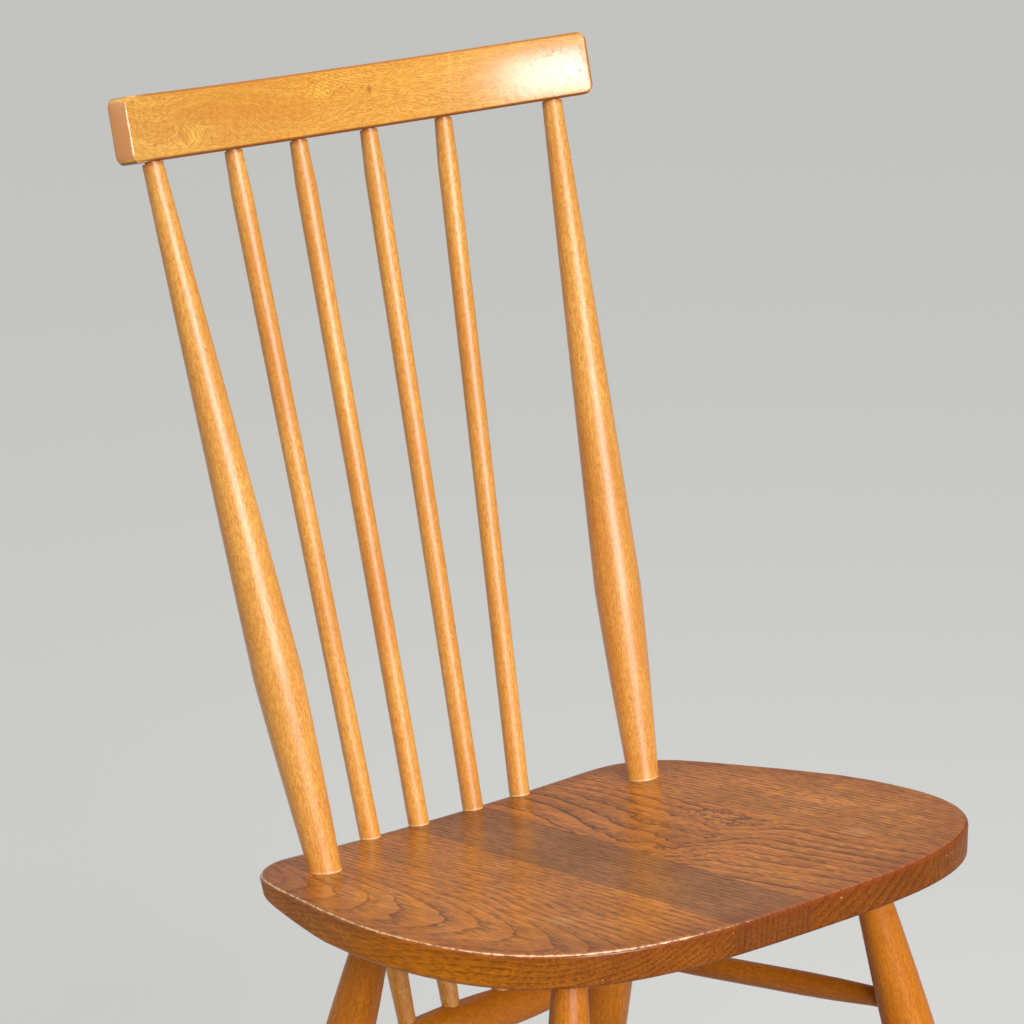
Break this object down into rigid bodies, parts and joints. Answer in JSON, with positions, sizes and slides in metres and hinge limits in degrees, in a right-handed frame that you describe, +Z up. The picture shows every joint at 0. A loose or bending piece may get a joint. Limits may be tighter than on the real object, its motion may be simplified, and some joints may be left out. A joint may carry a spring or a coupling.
{
  "type": "spindle back chair",
  "caption": "Dining chair with a dished boarded seat on splayed turned legs, tapered back posts and thin spindles under a bowed crest rail, spindles carried on to a low rail.",
  "frame": {"origin": "floor level, in the middle of the bounding box", "axes": "+Z up, -Y towards the front of the seat, +X to the right of someone who faces the chair's front"},
  "size_m": [0.4156, 0.4487, 0.924],
  "materials": {
    "seat_elm": "brown stained open grained wood under a satin gloss lacquer",
    "stick_beech": "honey coloured beech with short fine flecks under a gloss lacquer",
    "under_beech": "honey coloured beech under a gloss lacquer"
  },
  "bodies": {
    "root": {"seat_board_left": "seat_elm", "seat_board_centre_left": "seat_elm", "seat_board_centre_right": "seat_elm", "seat_board_right": "seat_elm", "crest_rail": "stick_beech", "back_post_left": "stick_beech", "back_post_right": "stick_beech", "inner_spindle_left": "stick_beech", "inner_spindle_right": "stick_beech", "outer_spindle_left": "stick_beech", "outer_spindle_right": "stick_beech", "spindle_rail": "under_beech", "front_leg_left": "under_beech", "front_leg_right": "under_beech", "back_leg_left": "under_beech", "back_leg_right": "under_beech", "side_stretcher_left": "under_beech", "side_stretcher_right": "under_beech", "front_stretcher": "under_beech"}
  },
  "joints": []
}
